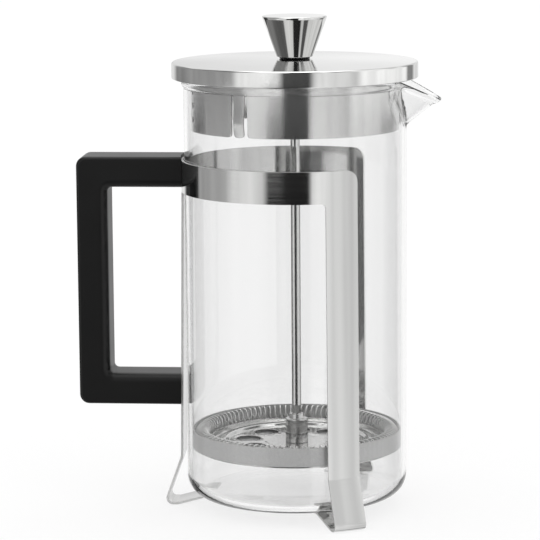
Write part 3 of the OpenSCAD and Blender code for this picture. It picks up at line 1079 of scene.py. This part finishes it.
@dataclass
class Plunger:
    """The knob, the rod and the filter stack on its lower end."""

    finishes: Finishes
    screen_radius: float = 45.6
    coil_radius: float = 3.3
    coil_rise: float = 0.7
    coil_turns: int = 104
    wire: float = 0.34
    knob_neck: float = 7.7
    knob_bore: float = 11.0
    rod_hole: float = 2.1
    plate_hole: float = 5.5
    plate_holes: int = 9
    plate_ring: float = 21.6
    plate_start: float = math.radians(13.3)
    plate_sheet: float = 0.8

    def build_knob(self) -> None:
        """Builds the inverted cone of the knob."""
        low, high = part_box("knob")
        bottom, top = low[2] / MM, high[2] / MM
        widest = (high[0] - low[0]) / 2 / MM
        points = outline([
            Corner(0.0, top), Corner(widest, top, 0.45), Corner(widest - 0.25, top - 1.2, 1.5),
            Corner(self.knob_neck, bottom, 0.35), Corner(self.rod_hole, bottom),
            Corner(self.rod_hole, bottom + self.knob_bore),
            Corner(0.0, bottom + self.knob_bore)], closed=False, steps=5)
        piece = to_object(lathe(points, False, 128), "knob_cone", self.finishes.chrome)
        publish(piece, Body.KNOB, "chrome", "knob")

    def build_rod(self) -> None:
        """Builds the plunger rod."""
        low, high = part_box("plunger_rod")
        radius = (high[0] - low[0]) / 2 / MM
        bottom, top = low[2] / MM, high[2] / MM
        points = outline([Corner(0.0, bottom), Corner(radius, bottom, 0.3),
                          Corner(radius, top, 0.3), Corner(0.0, top)],
                         closed=False, steps=3)
        piece = to_object(lathe(points, False, 48), "plunger_shaft", self.finishes.chrome)
        publish(piece, Body.ROD, "polished_steel", "plunger_rod")

    def build_hub(self) -> None:
        """Builds the two-step hub above the filter plate."""
        low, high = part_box("filter_hub")
        bottom, top = low[2] / MM, high[2] / MM
        wide = (high[0] - low[0]) / 2 / MM
        points = outline([
            Corner(self.rod_hole, bottom), Corner(wide, bottom, 0.3),
            Corner(wide, bottom + 4.5, 0.15),
            Corner(wide - 0.35, bottom + 4.75, 0.1), Corner(wide, bottom + 5.0, 0.15),
            Corner(wide, top - 2.0, 0.6), Corner(3.3, top - 2.0, 0.2), Corner(3.0, top, 0.3),
            Corner(self.rod_hole, top)], steps=3)
        piece = to_object(lathe(points, True, 64), "filter_boss", self.finishes.turned)
        publish(piece, Body.FILTER, "polished_steel", "filter_hub")

    def build_screen(self) -> None:
        """Builds the mesh cup with its rolled upper edge."""
        low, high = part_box("mesh_screen")
        floor, top = low[2] / MM, high[2] / MM
        edge = self.screen_radius
        points = outline([
            Corner(self.rod_hole, floor), Corner(edge, floor, 1.1), Corner(edge, top, 0.28),
            Corner(edge - 0.6, top, 0.28), Corner(edge - 0.6, floor + 0.4, 0.7),
            Corner(self.rod_hole, floor + 0.4)], steps=4)
        piece = to_object(lathe(points, True, 256), "filter_screen", self.finishes.mesh)
        publish(piece, Body.FILTER, "steel_mesh", "mesh_screen")

    def build_coil(self) -> None:
        """Winds the wire coil round the rim of the filter plate."""
        low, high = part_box("coil_spring")
        ring = (high[0] - low[0]) / 2 / MM - self.coil_radius
        level = (high[2] + low[2]) / 2 / MM + self.coil_rise
        per_turn = 12
        curve = bpy.data.curves.new("coil", "CURVE")
        curve.dimensions = "3D"
        curve.bevel_depth = self.wire * MM
        curve.bevel_resolution = 1
        spline = curve.splines.new("POLY")
        count = self.coil_turns * per_turn
        spline.points.add(count - 1)
        spline.use_cyclic_u = True
        for k in range(count):
            around, wind = TURN * k / count, TURN * k / per_turn
            out = ring + (self.coil_radius - self.wire) * math.cos(wind)
            up = level + (self.coil_radius - self.wire) * math.sin(wind)
            place = Vector((out * math.cos(around), out * math.sin(around), up)) * MM
            spline.points[k].co = (*(place + axis_place()), 1.0)
        winding = bpy.data.objects.new("winding", curve)
        bpy.context.scene.collection.objects.link(winding)
        mesh = bpy.data.meshes.new_from_object(
            winding.evaluated_get(bpy.context.evaluated_depsgraph_get()))
        bpy.data.objects.remove(winding)
        bm = bmesh.new()
        bm.from_mesh(mesh)
        bpy.data.meshes.remove(mesh)
        bmesh.ops.recalc_face_normals(bm, faces=bm.faces)
        piece = to_object(bm, "filter_coil", self.finishes.wire, 80, Vector())
        piece.data.materials.clear()
        piece.data.materials.append(self.finishes.wire)
        publish(piece, Body.FILTER, "fastener_steel", "coil_spring")

    def holes(self, count: int, radius: float, first: float, height: float) -> list[Matrix]:
        """Places a ring of upright drills.

        Args:
            count: Number of holes.
            radius: Radius of the ring in millimetres.
            first: Angle of the first hole in radians.
            height: Height of the ring in millimetres.

        Returns:
            One matrix for each drill.
        """
        return [Matrix.Translation(Matrix.Rotation(first + TURN * k / count, 3, "Z")
                                   @ Vector((radius, 0, height)) * MM)
                for k in range(count)]

    def build_plates(self) -> None:
        """Builds the spiral plate above the screen and the cross plate below."""
        low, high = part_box("spiral_plate")
        level = low[2] / MM + self.plate_sheet / 2
        edge = (high[0] - low[0]) / 2 / MM - self.plate_sheet / 2
        path = outline([
            Corner(2.5, level), Corner(13.0, level, 1.5), Corner(14.2, level + 0.5, 1.5),
            Corner(30.0, level + 0.5, 1.0), Corner(31.2, level + 1.7, 0.8),
            Corner(33.6, level + 1.7, 0.8), Corner(35.0, level, 0.8),
            Corner(edge, level, 1.2), Corner(edge, high[2] / MM - 0.1)],
            closed=False, steps=4)
        piece = to_object(lathe(path, False, 180), "filter_plate", self.finishes.collar)
        thicken(piece, self.plate_sheet, 0.12)
        # The hole walls get the dark punched steel: painted shade in the holes.
        drill(piece, self.holes(self.plate_holes, self.plate_ring, self.plate_start, level),
              self.plate_hole, 6, self.finishes.punched)
        publish(piece, Body.FILTER, "collar_steel", "spiral_plate")
        low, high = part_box("cross_plate")
        level = (low[2] + high[2]) / 2 / MM
        edge = (high[0] - low[0]) / 2 / MM
        path = outline([Corner(2.5, level), Corner(edge - 0.1, level)], closed=False)
        piece = to_object(lathe(path, False, 180), "lower_plate", self.finishes.collar)
        thicken(piece, self.plate_sheet, 0.15)
        # The hole walls get the dark punched steel: painted shade in the holes.
        for count, ring, first in ((8, 32.0, 0.0), (4, 16.0, math.pi / 4)):
            drill(piece, self.holes(count, ring, first, level), self.plate_hole, 6,
                  self.finishes.punched)
        publish(piece, Body.FILTER, "collar_steel", "cross_plate")

    def build(self) -> None:
        """Builds the plunger."""
        self.build_knob()
        self.build_rod()
        self.build_hub()
        self.build_screen()
        self.build_coil()
        self.build_plates()
        dress("mesh_eyelet", self.finishes.collar)
        dress("filter_nut", self.finishes.turned)


# -------------------------------------------------------------------- studio


@dataclass
class Studio:
    """Camera, floor and the bright room that the polished steel reflects.

    Attributes:
        turn: Angle of the camera round the press from straight ahead.
        distance: Camera to beaker axis along the floor, in metres.
        height: Camera above the floor, in metres.
        lens: Focal length in millimetres.
        pitch, yaw, roll: Aim of the camera, from level and straight at the axis.
        waist_room: (degrees, brightness) round the lower part of the room, from
            behind the press on the left, past the camera at 0, to behind on
            the right.
        rim_room: The same, from just under the horizon up.
        high_room: The same, for the upper part of the room.
        ceiling: Brightness of the lights overhead.
        backdrop: Brightness of the white behind the press.
        floor_glow: Brightness of the light table under the sheet.
    """

    turn: float = math.radians(4.3)
    distance: float = 1.1756
    height: float = 0.2946
    lens: float = 182.69
    pitch: float = math.radians(9.224)
    yaw: float = math.radians(0.547)
    roll: float = math.radians(-0.408)
    waist_room: tuple = (
        (-180, 1.0), (-150, 1.0), (-143, 0.04), (-117, 0.04), (-112, 0.45), (-74, 0.55),
        (-66, 0.95), (-48, 1.0), (-33, 0.8), (-27, 0.012), (13, 0.01), (17, 1.25),
        (33, 1.1), (42, 0.95), (100, 0.85), (112, 0.3), (127, 0.3), (138, 0.95), (180, 1.0))
    rim_room: tuple = (
        (-180, 0.88), (-151, 0.9), (-143, 0.34), (-61, 0.4), (-53, 1.1), (-16, 1.2),
        (-10, 0.09), (13, 0.09), (19, 1.1), (33, 1.05), (38, 0.92), (60, 0.92), (65, 1.2),
        (126, 1.15), (130, 0.3), (141, 0.3), (147, 0.9), (180, 0.88))
    high_room: tuple = (
        (-180, 1.1), (-123, 1.0), (-117, 0.2), (-49, 0.17), (-43, 1.15), (-9, 1.1),
        (-4, 0.03), (26, 0.03), (30, 1.1), (38, 1.1), (42, 0.14), (57, 0.14), (62, 1.15),
        (111, 1.15), (116, 0.2), (124, 0.2), (130, 1.05), (180, 1.05))
    ceiling: float = 2.6
    backdrop: float = 1.02
    floor_glow: float = 0.78

    def place_camera(self) -> None:
        """Stands the camera at the press and makes it the scene's own."""
        right, ahead, up = Vector((1, 0, 0)), Vector((0, 1, 0)), Vector((0, 0, 1))
        aim = Matrix.Rotation(self.yaw, 3, "Z") @ Matrix.Rotation(-self.pitch, 3, "X")
        right, ahead, up = aim @ right, aim @ ahead, aim @ up
        level = Matrix.Rotation(self.roll, 3, ahead)
        right, up = level.inverted() @ right, level.inverted() @ up
        axes = Matrix((right, up, -ahead)).transposed().to_4x4()
        place = axis_place() + Matrix.Rotation(self.turn, 3, "Z") @ Vector(
            (0, -self.distance, self.height))
        camera = bpy.data.objects.new("camera", bpy.data.cameras.new("camera"))
        camera.data.lens = self.lens
        camera.data.sensor_width = 36.0
        camera.data.clip_end = 50.0
        camera.matrix_world = (Matrix.Translation(place)
                               @ Matrix.Rotation(self.turn, 4, "Z") @ axes)
        bpy.context.scene.collection.objects.link(camera)
        bpy.context.scene.camera = camera

    def lay_floor(self) -> None:
        """Lays the pale floor, a white sheet on a light table."""
        material, tree = empty_material("lit white sheet")
        fibres = object_noise(tree, (60.0, 60.0, 60.0), 4.0)
        bump = add_node(tree, "ShaderNodeBump", {"Strength": 0.05, "Distance": 0.1 * MM},
                        {"Height": fibres.outputs["Fac"]})
        shader = add_node(tree, "ShaderNodeBsdfPrincipled",
                          {"Base Color": linear("848484"), "Roughness": 0.9,
                           "Specular IOR Level": 0.0,
                           "Emission Color": linear("FFFFFF"),
                           "Emission Strength": self.floor_glow}, {"Normal": bump.outputs[0]})
        # The sheet isn't there for mirrored rays, so that steel behind the
        # glass reflects the room below the horizon and not the bright floor.
        path = add_node(tree, "ShaderNodeLightPath")
        mirrored = add_node(tree, "ShaderNodeMath", {1: 0.5},
                            {0: path.outputs["Glossy Depth"]}, operation="GREATER_THAN")
        gone = add_node(tree, "ShaderNodeBsdfTransparent")
        close_material(tree, add_node(tree, "ShaderNodeMixShader",
                                      links={0: mirrored.outputs[0], 1: shader.outputs[0],
                                             2: gone.outputs[0]}))
        bm = bmesh.new()
        bmesh.ops.create_grid(bm, x_segments=2, y_segments=2, size=12.0)
        to_object(bm, "floor", material)

    def ramp(self, tree: bpy.types.NodeTree, stops: Sequence[tuple[float, float]],
             angle: bpy.types.NodeSocket) -> bpy.types.Node:
        """Adds a ramp of brightness against the angle round the room.

        Args:
            tree: Node tree of the world.
            stops: Angles in degrees with their brightness.
            angle: Output that runs from 0 to 1 round the room.

        Returns:
            The ramp node.
        """
        node = add_node(tree, "ShaderNodeValToRGB", links={0: angle})
        ramp = node.color_ramp
        while len(ramp.elements) < len(stops):
            ramp.elements.new(0.5)
        for element, (degrees, bright) in zip(ramp.elements, stops):
            element.position = (degrees + 180) / 360
            element.color = (bright, bright, bright, 1.0)
        return node

    def light_room(self) -> None:
        """Lights the scene: plain white for the eye, a room for the reflections."""
        world = bpy.data.worlds.new("studio")
        world.use_nodes = True
        tree = world.node_tree
        tree.nodes.clear()
        where = add_node(tree, "ShaderNodeTexCoord")
        turned = add_node(tree, "ShaderNodeMapping", {"Rotation": (0, 0, -self.turn)},
                          {"Vector": where.outputs["Generated"]})
        parts = add_node(tree, "ShaderNodeSeparateXYZ", links={0: turned.outputs[0]})
        front = add_node(tree, "ShaderNodeMath", {1: -1.0}, {0: parts.outputs["Y"]},
                         operation="MULTIPLY")
        angle = add_node(tree, "ShaderNodeMath",
                         links={0: parts.outputs["X"], 1: front.outputs[0]},
                         operation="ARCTAN2")
        share = add_node(tree, "ShaderNodeMath", {1: 1 / TURN, 2: 0.5},
                         {0: angle.outputs[0]}, operation="MULTIPLY_ADD")
        room = self.ramp(tree, self.waist_room, share.outputs[0]).outputs[0]
        # Heights are sines of the angle above the horizon: where the next part
        # of the room starts to show, and where it has taken over.
        levels = ((self.rim_room, -0.108, -0.1), (self.high_room, 0.4, 0.52))
        for stops, start, end in levels:
            rise = add_node(tree, "ShaderNodeMapRange", {"From Min": start, "From Max": end},
                            {"Value": parts.outputs["Z"]}, interpolation_type="SMOOTHSTEP")
            above = self.ramp(tree, stops, share.outputs[0])
            room = add_node(tree, "ShaderNodeMix",
                            links={"Factor": rise.outputs[0], "A": room,
                                   "B": above.outputs[0]},
                            data_type="RGBA").outputs["Result"]
        top = add_node(tree, "ShaderNodeMapRange", {"From Min": 0.82, "From Max": 0.93},
                       {"Value": parts.outputs["Z"]}, interpolation_type="SMOOTHSTEP")
        room = add_node(tree, "ShaderNodeMix", {"B": (*[self.ceiling] * 3, 1.0)},
                        {"Factor": top.outputs[0], "A": room},
                        data_type="RGBA").outputs["Result"]
        clouds = add_node(tree, "ShaderNodeTexNoise", {"Scale": 5.0, "Detail": 3.0},
                          {"Vector": where.outputs["Generated"]})
        uneven = add_node(tree, "ShaderNodeMapRange",
                          {"From Min": 0.3, "From Max": 0.7, "To Min": 0.8, "To Max": 1.15},
                          {"Value": clouds.outputs["Fac"]})
        room = add_node(tree, "ShaderNodeVectorMath",
                        links={0: room, 1: uneven.outputs[0]},
                        operation="MULTIPLY").outputs[0]
        # Only mirrored rays see the room. What is seen straight, or from inside
        # a glass wall, is the plain white backdrop.
        path = add_node(tree, "ShaderNodeLightPath")
        mirrored = add_node(tree, "ShaderNodeMath", {1: 1.0},
                            {0: path.outputs["Glossy Depth"]}, operation="MINIMUM")
        in_wall = add_node(tree, "ShaderNodeMath", {1: 2.0, 2: 1.5},
                           {0: path.outputs["Transmission Depth"]}, operation="COMPARE")
        share_room = add_node(tree, "ShaderNodeMath", {0: 1.0},
                              {1: in_wall.outputs[0]}, operation="SUBTRACT")
        factor = add_node(tree, "ShaderNodeMath",
                          links={0: mirrored.outputs[0], 1: share_room.outputs[0]},
                          operation="MULTIPLY")
        seen = add_node(tree, "ShaderNodeMix", {"A": (*[self.backdrop] * 3, 1.0)},
                        {"Factor": factor.outputs[0], "B": room}, data_type="RGBA")
        glow = add_node(tree, "ShaderNodeBackground", {"Strength": 1.0},
                        {"Color": seen.outputs["Result"]})
        add_node(tree, "ShaderNodeOutputWorld", links={"Surface": glow.outputs[0]})
        bpy.context.scene.world = world
        scene = bpy.context.scene
        scene.view_settings.view_transform = "Standard"
        scene.cycles.max_bounces = 28
        scene.cycles.glossy_bounces = 16
        scene.cycles.transmission_bounces = 24

    def build(self) -> None:
        """Builds the studio."""
        self.place_camera()
        self.lay_floor()
        self.light_room()


def main() -> None:
    """Builds the studio and the press."""
    logging.basicConfig(level=logging.INFO, format="%(name)s: %(message)s")
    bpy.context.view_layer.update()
    finishes = Finishes()
    for assembly in (Studio(), Stand(finishes), Beaker(finishes), Lid(finishes),
                     Plunger(finishes)):
        LOG.info("building %s", type(assembly).__name__)
        assembly.build()


if __name__ == "__main__":
    main()
